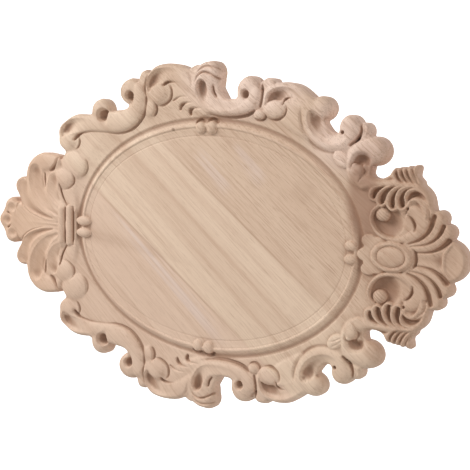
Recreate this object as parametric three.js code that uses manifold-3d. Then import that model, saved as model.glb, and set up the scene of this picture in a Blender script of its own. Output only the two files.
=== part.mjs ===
// Carved wood applique: an oval cartouche in a border of scrolls and leaves, one solid piece.
// It lies flat against what it is fixed to: the back is the plane Y = 0 and the carving faces -Y.
// +X runs along the oval towards the shell, +Z is up. Millimetres.
import * as THREE from 'three';
import { mergeVertices } from 'three/addons/utils/BufferGeometryUtils.js';
import Module from 'manifold-3d';

const wasm = await Module();
wasm.setup();

// The oval, from its centre to the crest of its ring
const ovalHalfLength = 145.5;
const ovalHalfHeight = 97.7;

// Levels above the flat back
const groundTop = 9.2;
const fieldTop = 9.4;
const ringTop = 11.4;
const ringGrooveDepth = 3.6;
const leafTop = 11.4;
const scrollTop = 13.6;
const shellTop = 13.2;
const cabochonTop = 16.0;

// Widths of the ring: the edge and cove outside its crest, and the band inside it
const ringCoveWidth = 8.4;
const ringBandWidth = 7.6;
const ringLineDepth = 0.7;

// Carving is set out in hundredths of the oval's half length and in shares of its half height
const ovalShare = 67.1;
const perX = ovalHalfLength / 100;
const perZ = ovalHalfHeight / ovalShare;

const joinDistance = 1e-3;
const spot = (x, y, height) => new THREE.Vector3(x * perX, -height, y * perZ);

// Makes a solid of a closed geometry: shared points are joined and collapsed triangles dropped
function solidOf(geometry) {
  geometry.deleteAttribute('normal');
  geometry.deleteAttribute('uv');
  const merged = mergeVertices(geometry, joinDistance);
  const corners = merged.index.array;
  const kept = [];
  for (let i = 0; i < corners.length; i += 3) {
    const [a, b, c] = [corners[i], corners[i + 1], corners[i + 2]];
    if (a !== b && b !== c && c !== a) kept.push(a, b, c);
  }
  return new wasm.Manifold(new wasm.Mesh({
    numProp: 3,
    vertProperties: new Float32Array(merged.attributes.position.array),
    triVerts: new Uint32Array(kept),
  }));
}

// Moves each point of a geometry that stands on its Y axis to a turned ellipse on the carving
function place(geometry, { at, reach, turn = 0 }) {
  const angle = THREE.MathUtils.degToRad(turn);
  const position = geometry.attributes.position;
  for (let i = 0; i < position.count; i++) {
    const along = position.getX(i) * reach[0];
    const across = -position.getZ(i) * reach[1];
    const x = at[0] + along * Math.cos(angle) - across * Math.sin(angle);
    const y = at[1] + along * Math.sin(angle) + across * Math.cos(angle);
    const point = spot(x, y, position.getY(i));
    position.setXYZ(i, point.x, point.y, point.z);
  }
  return geometry;
}

const sidesFor = (reach) => THREE.MathUtils.clamp(Math.round(8 + Math.max(...reach)), 10, 20);

// A rounded knob: an upright wall up to its shoulder, then a dome
const knobShares = [[1, 0], [0.88, 0.48], [0.55, 0.84]];
function knob(form) {
  const shoulder = form.top - form.round;
  const profile = [new THREE.Vector2(0, 0), new THREE.Vector2(1, 0)];
  for (const [radius, rise] of knobShares) {
    profile.push(new THREE.Vector2(radius, shoulder + rise * form.round));
  }
  profile.push(new THREE.Vector2(0, form.top));
  return solidOf(place(new THREE.LatheGeometry(profile, sidesFor(form.reach)), form));
}

// A hollow: the lower part of an ellipsoid centred at its rim
function hollow(form) {
  const ball = new THREE.SphereGeometry(1, sidesFor(form.reach), 8);
  ball.scale(1, form.depth, 1);
  ball.translate(0, form.top, 0);
  return solidOf(place(ball, form));
}

// Sections of a band, from its left edge to its right: place across it and share of its drop
const sections = {
  round: [[1, 1], [0.72, 0.32], [0, 0], [-0.72, 0.32], [-1, 1]],
  trough: [[1, 0.3], [0.88, 0], [0.35, 0.85], [-0.35, 0.85], [-0.88, 0], [-1, 0.3]],
};
const roundEnd = [[0.62, 0.78, 0.2], [0.95, 0.32, 0.75]];

// Stations along a band: middle, half width, sideways direction and height of its crest
function stationsOf({ path, top, step = 3, end = 'round' }) {
  const points = path.map(([x, y, half]) => new THREE.Vector3(x, y, half));
  const route = new THREE.CatmullRomCurve3(points);
  const count = (points.length - 1) * step;
  const stations = [];
  for (let i = 0; i <= count; i++) {
    const here = route.getPoint(i / count);
    const ahead = route.getTangent(i / count);
    const length = Math.hypot(ahead.x, ahead.y);
    stations.push({
      x: here.x, y: here.y, half: here.z, top, drop: 0,
      ahead: [ahead.x / length, ahead.y / length],
    });
  }
  if (end === 'plain') return stations;
  const first = stations[0];
  const last = stations[count];
  for (const [out, narrow, drop] of roundEnd) {
    stations.unshift({
      ...first, drop, half: first.half * narrow,
      x: first.x - first.ahead[0] * first.half * out, y: first.y - first.ahead[1] * first.half * out,
    });
    stations.push({
      ...last, drop, half: last.half * narrow,
      x: last.x + last.ahead[0] * last.half * out, y: last.y + last.ahead[1] * last.half * out,
    });
  }
  return stations;
}

// Skins a row of closed sections, listed clockwise as seen along the row
function loft(rows) {
  const size = rows[0].length;
  const index = [];
  for (let j = 0; j + 1 < rows.length; j++) {
    for (let i = 0; i < size; i++) {
      const next = (i + 1) % size;
      const [a, b] = [j * size + i, j * size + next];
      const [c, d] = [a + size, b + size];
      index.push(a, b, c, b, d, c);
    }
  }
  const lastRow = (rows.length - 1) * size;
  for (let i = 1; i + 1 < size; i++) {
    index.push(0, i + 1, i, lastRow, lastRow + i, lastRow + i + 1);
  }
  const geometry = new THREE.BufferGeometry().setFromPoints(rows.flat());
  geometry.setIndex(index);
  return solidOf(geometry);
}

// A carved band that stands on the back and follows its path
function band(form) {
  const section = sections[form.section ?? 'round'];
  const rows = stationsOf(form).map((station) => {
    const [ax, ay] = station.ahead;
    const at = (across, height) => spot(
      station.x - ay * across * station.half, station.y + ax * across * station.half, height);
    const crest = station.top - station.drop * form.round;
    const fall = form.round * (1 - station.drop * 0.6);
    return [at(1, 0), ...section.map(([across, share]) => at(across, crest - share * fall)), at(-1, 0)];
  });
  return loft(rows);
}

// A carved line: a V along its path, widening upwards
function groove(form) {
  const rows = stationsOf({ ...form, end: 'plain' }).map((station) => {
    const [ax, ay] = station.ahead;
    const at = (across, height) => spot(
      station.x - ay * across * station.half, station.y + ax * across * station.half, height);
    return [at(0, form.top - form.depth), at(1.4, form.top + 0.4 * form.depth),
      at(-1.4, form.top + 0.4 * form.depth)];
  });
  return loft(rows);
}

// The oval field inside its ring: [outwards from the crest, height], from the foot inwards
const ovalTurns = 64;
function ovalRow(outwards, height) {
  const row = [];
  for (let i = 0; i < ovalTurns; i++) {
    const angle = (2 * Math.PI * i) / ovalTurns;
    row.push(spot((100 + outwards) * Math.cos(angle), (ovalShare + outwards) * Math.sin(angle), height));
  }
  return row;
}
function ovalBody() {
  const out = ringCoveWidth / perX;
  const into = ringBandWidth / perX;
  const floor = ringTop - ringGrooveDepth;
  const profile = [
    [out, 0], [out, groundTop], [0.8 * out, floor + 0.5], [0.4 * out, floor], [0.16 * out, floor + 1.7],
    [0, ringTop - 0.6], [-0.2 * into, ringTop], [-0.35 * into, ringTop - 0.8],
    [-into, fieldTop], [-1.08 * into, fieldTop - ringLineDepth], [-1.18 * into, fieldTop],
  ];
  return loft(profile.map(([outwards, height]) => ovalRow(outwards, height)));
}
const ovalRoom = () => loft([0, cabochonTop].map((height) => ovalRow(ringCoveWidth / perX, height)));

// The ground under the border, out to the middle of its scrolls
const groundCorners = [
  [-152, 0], [-150, 30], [-137, 40], [-119, 40], [-113, 54], [-111, 66], [-88, 72], [-56, 74], [-52, 90],
  [-30, 98], [-8, 96], [8, 92], [16, 79], [30, 79], [37, 87], [56, 86], [68, 77], [79, 62], [90, 59],
  [97, 58], [103, 53], [106, 47], [107.5, 43], [110, 39.5], [131, 40], [139, 28], [147, 16], [151, 8],
  [151, 0],
];
function ground() {
  const inner = groundCorners.slice(1, -1).reverse();
  const outline = [...groundCorners, ...inner.map(([x, y]) => [x, -y])];
  const shape = new THREE.Shape(outline.map(([x, y]) => new THREE.Vector2(x * perX, y * perZ)));
  const sheet = new THREE.ExtrudeGeometry(shape, { depth: groundTop, bevelEnabled: false });
  sheet.rotateX(Math.PI / 2);
  return solidOf(sheet);
}

const join = (solids) => solids.reduce((whole, piece) => whole.add(piece));

// Scrolls of the border, from the left end to the right: [x, y, half width] along each
const scrollBands = [
  { path: [[-51, 90, 5], [-51.5, 84, 5.2], [-54.5, 76.5, 6], [-61.5, 71.8, 6.6], [-72, 69.9, 7.1],
    [-84, 68.6, 5.8], [-95, 69, 5.6], [-107, 67.8, 6.8], [-115.8, 62.8, 7.2]] },
  { path: [[-7, 89, 4.5], [-13.5, 94.4, 5.5], [-21, 98.2, 6], [-30.5, 99.5, 5.8], [-38, 98, 6],
    [-42, 92.5, 5.4], [-41.5, 87, 5]] },
  { path: [[34.5, 86, 4], [32.5, 82, 4.6], [27, 79, 4.9], [17.5, 78.3, 5], [8, 79.2, 5.4], [1.4, 83, 6.5],
    [-2, 89, 7]] },
  { path: [[45, 79, 5.2], [45.6, 85, 5.2], [52, 87.4, 4.6], [59.5, 85.6, 5.6], [66.2, 80.4, 6.3],
    [71, 76, 6]] },
  { path: [[70.4, 78, 4.6], [71.8, 71.5, 5.8], [74.6, 65, 6.4], [80.5, 60.2, 5.4], [87, 59.2, 4.8],
    [92.4, 61.6, 5.2], [95, 66, 5]] },
  { path: [[106.5, 56, 5], [100.5, 54.4, 5], [98.2, 48.5, 4.6], [99.5, 42, 4.4], [104.5, 38.4, 4],
    [112, 37.5, 2.8]] },
].map((form) => ({ top: scrollTop, round: 3.4, ...form }));
const scrollKnobs = [
  { at: [-58.9, 88.8], reach: [9.7, 8.5], round: 4 },
  { at: [-84.8, 76.8], reach: [8.2, 8.1], round: 4 },
  { at: [-113, 57.3], reach: [10.2, 7.6], round: 5 },
  { at: [-37, 87.2], reach: [9.6, 7.4], lift: 0.6, round: 5 },
  { at: [-0.2, 94.6], reach: [9.8, 10.8], lift: 0.4, round: 3.6 },
  { at: [3.2, 98.6], reach: [6.4, 7.2], round: 3.4 },
  { at: [29.8, 87.5], reach: [8.8, 8.9], round: 4 },
  { at: [48, 77], reach: [7.4, 6.3], lift: 0.4, round: 5 },
  { at: [77, 77.3], reach: [7.6, 6.6], round: 4.6 },
  { at: [94.8, 67.4], reach: [7.1, 6.6], round: 4 },
  { at: [109.2, 54.8], reach: [8.8, 7.8], round: 4.6 },
  { at: [98, 45], reach: [3.4, 3.4], lift: 0.3, round: 3 },
].map(({ lift = 0, ...form }) => ({ ...form, top: scrollTop + lift }));
const scrollHollows = [
  { at: [-59.6, 86.4], reach: [3.4, 3.1], depth: 7 },
  { at: [-57.8, 82.6], reach: [2, 3], depth: 5 },
  { at: [-82, 74.4], reach: [4.8, 4.4], depth: 8 },
  { at: [-116.6, 64], reach: [4.4, 3.4], turn: 20, depth: 6 },
  { at: [-109.5, 67.6], reach: [7.5, 2.8], turn: 12, depth: 2.6 },
  { at: [-41.4, 95.4], reach: [3.3, 4.4], turn: -20, depth: 6 },
  { at: [-34.5, 99.2], reach: [6, 3.2], turn: 12, depth: 2.4 },
  { at: [-2.4, 89.8], reach: [5, 4.8], depth: 9 },
  { at: [0, 85], reach: [4.6, 4.4], depth: 5 },
  { at: [9.6, 88.6], reach: [1.8, 2.4], depth: 5 },
  { at: [28.2, 86.8], reach: [3.3, 3], depth: 7 },
  { at: [47.2, 84.6], reach: [4.6, 3.8], depth: 7 },
  { at: [54, 87], reach: [6.5, 2.4], turn: -6, depth: 2.2 },
  { at: [73.2, 71.5], reach: [4.4, 3.4], depth: 7 },
  { at: [76.2, 66], reach: [4.2, 5.2], turn: 35, depth: 4.4 },
  { at: [90.6, 65], reach: [1.5, 1.2], depth: 5 },
  { at: [100.4, 51.4], reach: [2.6, 2.4], depth: 6 },
  { at: [102.2, 44.2], reach: [1.7, 1.9], depth: 5 },
].map((form) => ({ ...form, top: scrollTop }));
const scrollLines = [
  { path: [[-110, 59.4, 1.2], [-105, 61.4, 1.1], [-97, 63.2, 0.8]], depth: 5 },
  { path: [[-32, 93.2, 1.4], [-27.5, 94, 1.1], [-21, 92.2, 0.8], [-14, 87.6, 0.5]], depth: 4.5 },
  { path: [[-6, 99.8, 0.6], [-2, 102, 0.8], [4, 102.9, 0.8], [10.4, 100.6, 0.7]], depth: 3.4 },
  { path: [[-8, 95, 0.6], [-4, 98.4, 1], [1.4, 98.8, 1], [8, 95, 0.9], [12, 93.8, 0.8]], depth: 3.6 },
  { path: [[4, 90.8, 1.2], [5.4, 87, 1.1], [9, 83.4, 0.6]], depth: 5 },
  { path: [[52.6, 81.4, 1.3], [55.6, 83.1, 1], [60.6, 82.4, 0.5]], depth: 4.5 },
].map((form) => ({ ...form, top: scrollTop }));

// Small leaves in the notches between the scrolls
const leafKnobs = [
  { at: [-48.6, 97.2], reach: [4.2, 5.2], top: leafTop, round: 2 },
  { at: [-9, 100], reach: [4.4, 4], top: leafTop, round: 2 },
  { at: [43.8, 90.6], reach: [5.4, 3.8], top: leafTop, round: 2 },
  { at: [103.2, 65], reach: [4.8, 4.9], top: leafTop, round: 2.4 },
  { at: [103, 47.6], reach: [5, 9], top: leafTop, round: 2.4 },
  { at: [-42.6, 78.4], reach: [4.6, 5.2], top: leafTop + 1, round: 2.6 },
  { at: [37.6, 74], reach: [3.8, 3.4], top: leafTop + 1, round: 2.6 },
  { at: [90, 49.6], reach: [5, 3], turn: -32, top: leafTop, round: 2.2 },
  { at: [60.6, 77], reach: [9.6, 11], top: scrollTop - 1.4, round: 3 },
];
const fingers = [
  { path: [[0, 79.5, 3.6], [-10, 83.5, 2.8], [-19, 84.2, 2.2], [-24, 83, 1.6]] },
  { path: [[0, 77.5, 3.2], [-9, 80.2, 2.4], [-16, 80, 2], [-18, 77, 1.4]] },
  { path: [[0, 75, 2.6], [-9, 75.6, 1.8]] },
].map((form) => ({ ...form, top: leafTop + 1, round: 1.6 }));
const fingerHollows = [
  { at: [-20.5, 78.5], reach: [1.8, 2.6], turn: -20, top: leafTop, depth: 6 },
  { at: [-12.8, 75.8], reach: [2.6, 2.4], top: leafTop, depth: 6 },
];

// The fan at the left end: lobes that curl over beside a broad middle leaf
const fanLobes = [
  { path: [[-118, 0, 5.5], [-135, 0, 6], [-150, 0, 9], [-162, 0, 13.5], [-168, 0, 13.4]], drop: 0.6 },
  { path: [[-119, 4.5, 2], [-136.2, 8, 2.6], [-148.6, 13.5, 5], [-156.4, 20, 6.4], [-159.3, 25, 6.4]] },
  { path: [[-119, 8, 2.4], [-132, 12, 3], [-141.6, 18.5, 5.6], [-146.6, 27.2, 7.4], [-146, 36.2, 7.6],
    [-138.8, 42.2, 6.4], [-128, 43, 4.4]] },
  { path: [[-117, 11.5, 2], [-126, 15.5, 3.6], [-129.4, 22, 5.2], [-127, 29, 6], [-121, 33, 6]] },
].map(({ drop = 0, ...form }) => ({ ...form, top: scrollTop - drop, round: 3.2, section: 'trough' }));
const fanKnobs = [
  { at: [-169.6, 9.8], reach: [6.8, 6.5], top: scrollTop, round: 3 },
  { at: [-119, 31.6], reach: [9.4, 8.4], top: scrollTop + 0.8, round: 5 },
  { at: [-110, 42.2], reach: [10.8, 9.2], turn: -4, top: scrollTop, round: 5 },
  { at: [-110, 22], reach: [9, 12], top: groundTop + 1.4, round: 1.4 },
];
const fanTip = { at: [-176.5, 0], reach: [6.4, 5.8], top: scrollTop, round: 3 };
const fanTipHollow = { at: [-174.6, 0], reach: [3.8, 2.9], top: scrollTop, depth: 3.6 };
const fanHollows = [
  { at: [-168.6, 9.5], reach: [3.4, 2.6], depth: 4 },
  { at: [-160, 25.4], reach: [4.6, 3.8], depth: 5.4 },
  { at: [-128, 38.8], reach: [3.2, 1.8], turn: 25, depth: 7 },
].map((form) => ({ ...form, top: scrollTop }));
const fanLines = [
  { path: [[-137, 34.6, 0.9], [-136.6, 30, 1.2], [-136, 25.6, 0.6]] },
  { path: [[-120.8, 28, 1], [-120.8, 22, 1.1], [-117.8, 17.3, 0.9], [-113.6, 13.8, 0.5]] },
].map((form) => ({ ...form, top: scrollTop, depth: 5.2 }));
const collarBars = [
  { path: [[-118.8, -10.5, 2.8], [-118.8, 0, 2.8], [-118.8, 10.5, 2.8]], top: scrollTop + 0.2 },
  { path: [[-111.8, -11, 2.8], [-111.8, 0, 2.8], [-111.8, 11, 2.8]], top: scrollTop - 0.2 },
].map((form) => ({ ...form, round: 2, step: 1 }));

// Beads at the ends of the oval's axes
const beads = [
  { at: [-100, 3.8], reach: [7, 3], top: ringTop + 1.2, round: 3 },
  { at: [97.6, 3.6], reach: [3.8, 2.8], top: ringTop + 0.8, round: 2.4 },
  { at: [-4, 67], reach: [3.4, 3.6], top: ringTop + 0.8, round: 2.6 },
  { at: [3.6, 67.3], reach: [3.7, 3.9], top: ringTop + 1, round: 3 },
];

// Feathers on their stem at the right end
const stem = {
  path: [[104, 38, 2.6], [114, 38.4, 2], [126, 38.6, 2], [133.4, 37, 2.4], [138.2, 32.5, 3],
    [139.8, 26, 3.4]],
  top: scrollTop,
  round: 2.4,
};
const featherFeet = [120.2, 123.8, 127.6, 131.7];
const upperFeathers = featherFeet.map((foot, i) => ({
  path: [[foot + 3, 39, 1.6], [foot + 0.2, 42, 1.8], [foot + 0.8, 44.9 + 0.6 * i, 1.7]],
  top: scrollTop - 0.8,
  round: 2,
  step: 2,
}));
const featherHalfWidths = [1.2, 1.5, 1.6, 1.4];
const lowerFeathers = [
  [[115, 37.3], [110, 35], [108.3, 31.8], [109.5, 29.2]],
  [[121, 37.3], [115, 34.5], [112.6, 30.8], [113.6, 27]],
  [[126.5, 37.8], [120.8, 34.5], [119, 29.6], [121.8, 24.8]],
  [[130.4, 37.8], [125.4, 34.4], [123.8, 30], [127.2, 25.8]],
  [[135.6, 36.6], [131, 36], [128.2, 33], [128.8, 29]],
].map((spine) => ({
  path: spine.map(([x, y], i) => [x, y, featherHalfWidths[i]]),
  top: scrollTop - 0.6,
  round: 2,
}));

// Volutes beside the cabochon
const voluteBowl = { at: [125.2, 19.8], reach: [16.4, 9.6], top: shellTop - 1, round: 1.4 };
const voluteHollow = { at: [121.6, 20.4], reach: [12, 8.2], top: shellTop - 0.6, depth: 5.4 };
const voluteRim = {
  path: [[111.5, 27.5, 1.2], [109.8, 22, 1.5], [111.2, 16, 1.6], [116, 12.2, 1.6], [123, 10.9, 1.6],
    [131, 11.9, 1.7], [137, 15.5, 2], [139.6, 21, 2.2]],
  top: shellTop,
  round: 1.6,
  step: 2,
};
const voluteKnobs = [
  { at: [114.3, 22.8], reach: [4.4, 4.3], top: scrollTop, round: 4 },
  { at: [127, 16.6], reach: [6.6, 3.6], top: leafTop - 0.4, round: 3 },
  { at: [133, 22.4], reach: [5.4, 6.2], top: shellTop + 0.4, round: 3 },
];
const curl = {
  path: [[140, 27, 2.4], [136.4, 30.6, 2], [132, 31, 1.7], [129.2, 28, 1.4]],
  top: scrollTop + 0.4,
  round: 2,
};

// The shell at the right end
const shellRibs = [
  { path: [[129, 8, 1.4], [138.4, 11, 2.2], [143.2, 16.6, 3.4], [146, 21.6, 4.2]] },
  { path: [[131, 5.3, 1.4], [140, 6.9, 2.1], [146.4, 10.2, 3.1], [150.2, 14.6, 4.3]] },
].map((form) => ({ ...form, top: shellTop, round: 2 }));
const shellMiddle = {
  path: [[130, 0, 3.2], [140, 0, 4], [146, 0, 7.6], [150.4, 0, 11.4]],
  top: shellTop,
  round: 2,
};
const shellRecess = { at: [153, 0], reach: [4.4, 4], top: shellTop, depth: 1.4 };

// The cabochon in its ring, and the petals that it rests on: [share of the reach, fall below the top]
const cabochon = { at: [121, 0], reach: [11.2, 8] };
const cabochonShares = [[1, 3.2], [0.93, 1.8], [0.84, 2.2], [0.77, 3.4], [0.7, 2], [0.45, 0.6], [0, 0]];
const cabochonSides = 20;
function cabochonSolid() {
  const profile = [new THREE.Vector2(0, 0), new THREE.Vector2(1, 0)];
  for (const [radius, fall] of cabochonShares) profile.push(new THREE.Vector2(radius, cabochonTop - fall));
  return solidOf(place(new THREE.LatheGeometry(profile, cabochonSides), cabochon));
}
const petals = [
  { at: [108.4, 7.4], reach: [4.8, 3.4], top: leafTop + 0.4, round: 2 },
  { at: [106.6, 0], reach: [5.4, 4.4], top: leafTop + 0.6, round: 2 },
];

// Everything above the oval's long axis
function upperHalf() {
  const lower = join([
    ground(), ...leafKnobs.map(knob), ...scrollBands.map(band), ...scrollKnobs.map(knob),
    ...fanLobes.map(band), ...fanKnobs.map(knob), knob(fanTip), knob(voluteBowl), ...fingers.map(band),
  ]).subtract(ovalRoom()).add(ovalBody());
  const cuts = join([
    ...scrollHollows.map(hollow), ...scrollLines.map(groove), ...fanHollows.map(hollow),
    ...fanLines.map(groove), hollow(fanTipHollow), ...fingerHollows.map(hollow), hollow(voluteHollow),
  ]);
  const upper = join([
    ...collarBars.map(band), ...beads.map(knob), band(stem), band(curl), ...upperFeathers.map(band),
    ...lowerFeathers.map(band), band(voluteRim), ...voluteKnobs.map(knob), ...shellRibs.map(band),
    band(shellMiddle), ...petals.map(knob), cabochonSolid(),
  ]);
  const room = new THREE.BoxGeometry(6 * ovalHalfLength, 4 * cabochonTop, 4 * ovalHalfHeight);
  room.translate(0, 0, 2 * ovalHalfHeight);
  return lower.subtract(cuts).add(upper).subtract(hollow(shellRecess)).intersect(solidOf(room));
}

// Items in order of cost, the cheapest first
class Queue {
  constructor() {
    this.items = [];
  }

  swap(i, j) {
    [this.items[i], this.items[j]] = [this.items[j], this.items[i]];
  }

  push(item) {
    let i = this.items.push(item) - 1;
    while (i > 0) {
      const parent = (i - 1) >> 1;
      if (this.items[parent].cost <= this.items[i].cost) return;
      this.swap(parent, i);
      i = parent;
    }
  }

  pop() {
    const { items } = this;
    const least = items[0];
    const last = items.pop();
    if (!items.length) return least;
    items[0] = last;
    let i = 0;
    while (2 * i + 1 < items.length) {
      let child = 2 * i + 1;
      if (child + 1 < items.length && items[child + 1].cost < items[child].cost) child++;
      if (items[i].cost <= items[child].cost) return least;
      this.swap(i, child);
      i = child;
    }
    return least;
  }
}

// The squared distance to a facet's plane times its area, as the ten terms of a quadric
function facetTerms(corners) {
  const { normal: n, constant: d } = new THREE.Plane().setFromCoplanarPoints(...corners);
  const area = new THREE.Triangle(...corners).getArea();
  return [
    n.x * n.x, n.x * n.y, n.x * n.z, n.x * d, n.y * n.y, n.y * n.z, n.y * d, n.z * n.z, n.z * d, d * d,
  ].map((term) => term * area);
}

const errorAt = (p, q) => q[0] * p.x * p.x + 2 * q[1] * p.x * p.y + 2 * q[2] * p.x * p.z + 2 * q[3] * p.x
  + q[4] * p.y * p.y + 2 * q[5] * p.y * p.z + 2 * q[6] * p.y + q[7] * p.z * p.z + 2 * q[8] * p.z + q[9];

// A closed mesh that can move one corner onto another
class Facets {
  constructor({ vertProperties, triVerts }) {
    this.spots = [];
    this.facets = [];
    for (let i = 0; i < vertProperties.length; i += 3) {
      this.spots.push(new THREE.Vector3().fromArray(vertProperties, i));
    }
    for (let i = 0; i < triVerts.length; i += 3) this.facets.push([...triVerts.subarray(i, i + 3)]);
    this.around = this.spots.map(() => new Set());
    this.errors = this.spots.map(() => new Array(10).fill(0));
    this.facets.forEach((facet, f) => {
      const terms = facetTerms(facet.map((i) => this.spots[i]));
      facet.forEach((i) => {
        this.around[i].add(f);
        this.errors[i] = this.errors[i].map((term, k) => term + terms[k]);
      });
    });
    this.count = this.facets.length;
  }

  neighbours(i) {
    return new Set([...this.around[i]].flatMap((f) => this.facets[f]).filter((k) => k !== i));
  }

  cost(from, to) {
    const terms = this.errors[from].map((term, k) => term + this.errors[to][k]);
    return errorAt(this.spots[to], terms) + smallStep * this.spots[from].distanceToSquared(this.spots[to]);
  }

  // Whether a facet would turn over or shrink to nothing
  folds(from, to) {
    return [...this.around[from]].some((f) => {
      const facet = this.facets[f];
      if (facet.includes(to)) return false;
      const before = new THREE.Triangle(...facet.map((i) => this.spots[i]));
      const after = new THREE.Triangle(...facet.map((i) => this.spots[i === from ? to : i]));
      const turned = before.getNormal(new THREE.Vector3()).dot(after.getNormal(new THREE.Vector3()));
      return turned < leastTurn || after.getArea() < leastArea;
    });
  }

  canMove(from, to) {
    const near = this.neighbours(to);
    if (!near.has(from)) return false;
    const shared = [...this.neighbours(from)].filter((i) => near.has(i));
    return shared.length === 2 && !this.folds(from, to);
  }

  move(from, to) {
    for (const f of this.around[from]) {
      const facet = this.facets[f];
      if (facet.includes(to)) {
        facet.filter((i) => i !== from).forEach((i) => this.around[i].delete(f));
        this.facets[f] = null;
        this.count--;
      } else {
        facet[facet.indexOf(from)] = to;
        this.around[to].add(f);
      }
    }
    this.around[from].clear();
    this.errors[to] = this.errors[to].map((term, k) => term + this.errors[from][k]);
  }
}

// Thins a closed mesh to a number of facets, always moving the corner that shows least
const facetLimit = 9800;
const smallStep = 1e-6;
const leastTurn = 0.3;
const leastArea = 1e-3;
function thin(mesh, limit) {
  const body = new Facets(mesh);
  const age = body.spots.map(() => 0);
  const queue = new Queue();
  const offer = (from, to) => {
    queue.push({ cost: body.cost(from, to), from, to, ages: age[from] + age[to] });
  };
  body.spots.forEach((_, from) => body.neighbours(from).forEach((to) => offer(from, to)));
  while (body.count > limit && queue.items.length) {
    const { from, to, ages } = queue.pop();
    if (ages !== age[from] + age[to] || !body.canMove(from, to)) continue;
    body.move(from, to);
    age[to]++;
    for (const i of body.neighbours(to)) {
      offer(i, to);
      offer(to, i);
    }
  }
  return { spots: body.spots, facets: body.facets.filter(Boolean) };
}

// The two halves are mirror images that meet in the plane of the long axis
const half = thin(upperHalf().getMesh(), facetLimit / 2);
const onSeam = (point) => Math.abs(point.z) < joinDistance;
function halfSolid(flip) {
  const positions = half.spots.flatMap((p) => [p.x, p.y, onSeam(p) ? 0 : p.z * flip]);
  const corners = half.facets.flatMap(([a, b, c]) => (flip > 0 ? [a, b, c] : [a, c, b]));
  const geometry = new THREE.BufferGeometry();
  geometry.setAttribute('position', new THREE.Float32BufferAttribute(positions, 3));
  geometry.setIndex(corners);
  return solidOf(geometry);
}
const mesh = halfSolid(1).add(halfSolid(-1)).getMesh();
const carving = new THREE.BufferGeometry();
carving.setAttribute('position', new THREE.BufferAttribute(new Float32Array(mesh.vertProperties), 3));
carving.setIndex(new THREE.BufferAttribute(new Uint32Array(mesh.triVerts), 1));
carving.computeVertexNormals();

const wood = new THREE.MeshStandardMaterial({ color: 0xc49a76, roughness: 0.75, metalness: 0 });
const piece = new THREE.Mesh(carving, wood);
piece.name = 'applique';

const part = new THREE.Group();
part.add(piece);
export default part;
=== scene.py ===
# Carved wood applique: the board is one finely carved mesh, built from a map of heights over its outline
import math

import bpy
import numpy as np
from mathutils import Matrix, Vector


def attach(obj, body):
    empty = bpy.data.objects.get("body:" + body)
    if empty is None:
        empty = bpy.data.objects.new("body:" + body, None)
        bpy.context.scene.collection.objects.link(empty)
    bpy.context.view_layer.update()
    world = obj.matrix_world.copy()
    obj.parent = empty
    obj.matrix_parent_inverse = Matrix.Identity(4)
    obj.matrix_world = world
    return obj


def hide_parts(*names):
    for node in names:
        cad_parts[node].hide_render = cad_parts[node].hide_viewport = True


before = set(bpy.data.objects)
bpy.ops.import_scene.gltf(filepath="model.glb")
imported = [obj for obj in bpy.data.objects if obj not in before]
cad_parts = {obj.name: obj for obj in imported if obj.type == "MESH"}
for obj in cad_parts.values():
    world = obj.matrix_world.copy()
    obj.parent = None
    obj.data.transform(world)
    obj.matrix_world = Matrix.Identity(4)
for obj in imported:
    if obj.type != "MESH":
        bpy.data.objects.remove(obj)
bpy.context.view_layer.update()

# The map's unit is a hundredth of the oval's half length. The halves of the oval in units, and the
# millimetres in a unit, along the oval and across it
OVAL_LONG = 100
OVAL_HIGH = 67.1
PER_X = 1.455
PER_Z = 97.7 / OVAL_HIGH
COVE_WIDTH = 8.4 / PER_X

# Heights in millimetres above the flat back
GROUND_TOP = 9.2
RING_TOP = 11.4
LEAF_TOP = 11.4
SCROLL_TOP = 13.6
SHELL_TOP = 13.2
CABOCHON_TOP = 16.0
LOWEST = 2.5

# The map covers the half above the long axis: x from the fan to the shell, y from the axis up
CELL = 0.4
MAP_START = -185
MAP_LENGTH = 349
MAP_HEIGHT = 108
COLUMNS = int(MAP_LENGTH / CELL) + 1
ROWS = int(MAP_HEIGHT / CELL) + 1
grid_x = MAP_START + CELL * np.arange(COLUMNS)
grid_y = CELL * np.arange(ROWS)
X, Y = np.meshgrid(grid_x, grid_y)

# Outside the board both maps hold FAR; a shape joins the map over the distance SOFT along its edge, the
# oval's field over a wider one
FAR = -99.0
SOFT = CELL
FIELD_SOFT = 3 * SOFT
height = np.full(X.shape, FAR)
edge = np.full(X.shape, FAR)


def catmull(points, steps=10):
    """Points along a smooth curve through the given ones. The curve is centripetal, so it makes no loops."""
    given = np.array(points, float)
    whole = np.vstack([2 * given[0] - given[1], given, 2 * given[-1] - given[-2]])
    found = []
    for p0, p1, p2, p3 in zip(whole, whole[1:], whole[2:], whole[3:]):
        gaps = [max(float(np.sum((b - a)[:2] ** 2)), 1e-8) ** 0.25 for a, b in ((p0, p1), (p1, p2), (p2, p3))]
        d0, d1, d2 = gaps
        m1 = ((p1 - p0) / d0 - (p2 - p0) / (d0 + d1) + (p2 - p1) / d1) * d1
        m2 = ((p2 - p1) / d1 - (p3 - p1) / (d1 + d2) + (p3 - p2) / d2) * d1
        for t in np.arange(steps) / steps:
            bend = (2 * p1 - 2 * p2 + m1 + m2) * t ** 3 + (-3 * p1 + 3 * p2 - 2 * m1 - m2) * t ** 2
            found.append(p1 + m1 * t + bend)
    found.append(given[-1])
    return np.array(found)


class Patch:
    """The part of the map that a shape can reach."""

    def __init__(self, x0, x1, y0, y1):
        rows = [max(0, int((y - grid_y[0]) / CELL) + more) for y, more in ((y0, -1), (y1, 3))]
        columns = [max(0, int((x - grid_x[0]) / CELL) + more) for x, more in ((x0, -1), (x1, 3))]
        self.window = (slice(*rows), slice(*columns))
        self.x = X[self.window]
        self.y = Y[self.window]


WHOLE = Patch(grid_x[0], grid_x[-1], 0, grid_y[-1])


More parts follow.
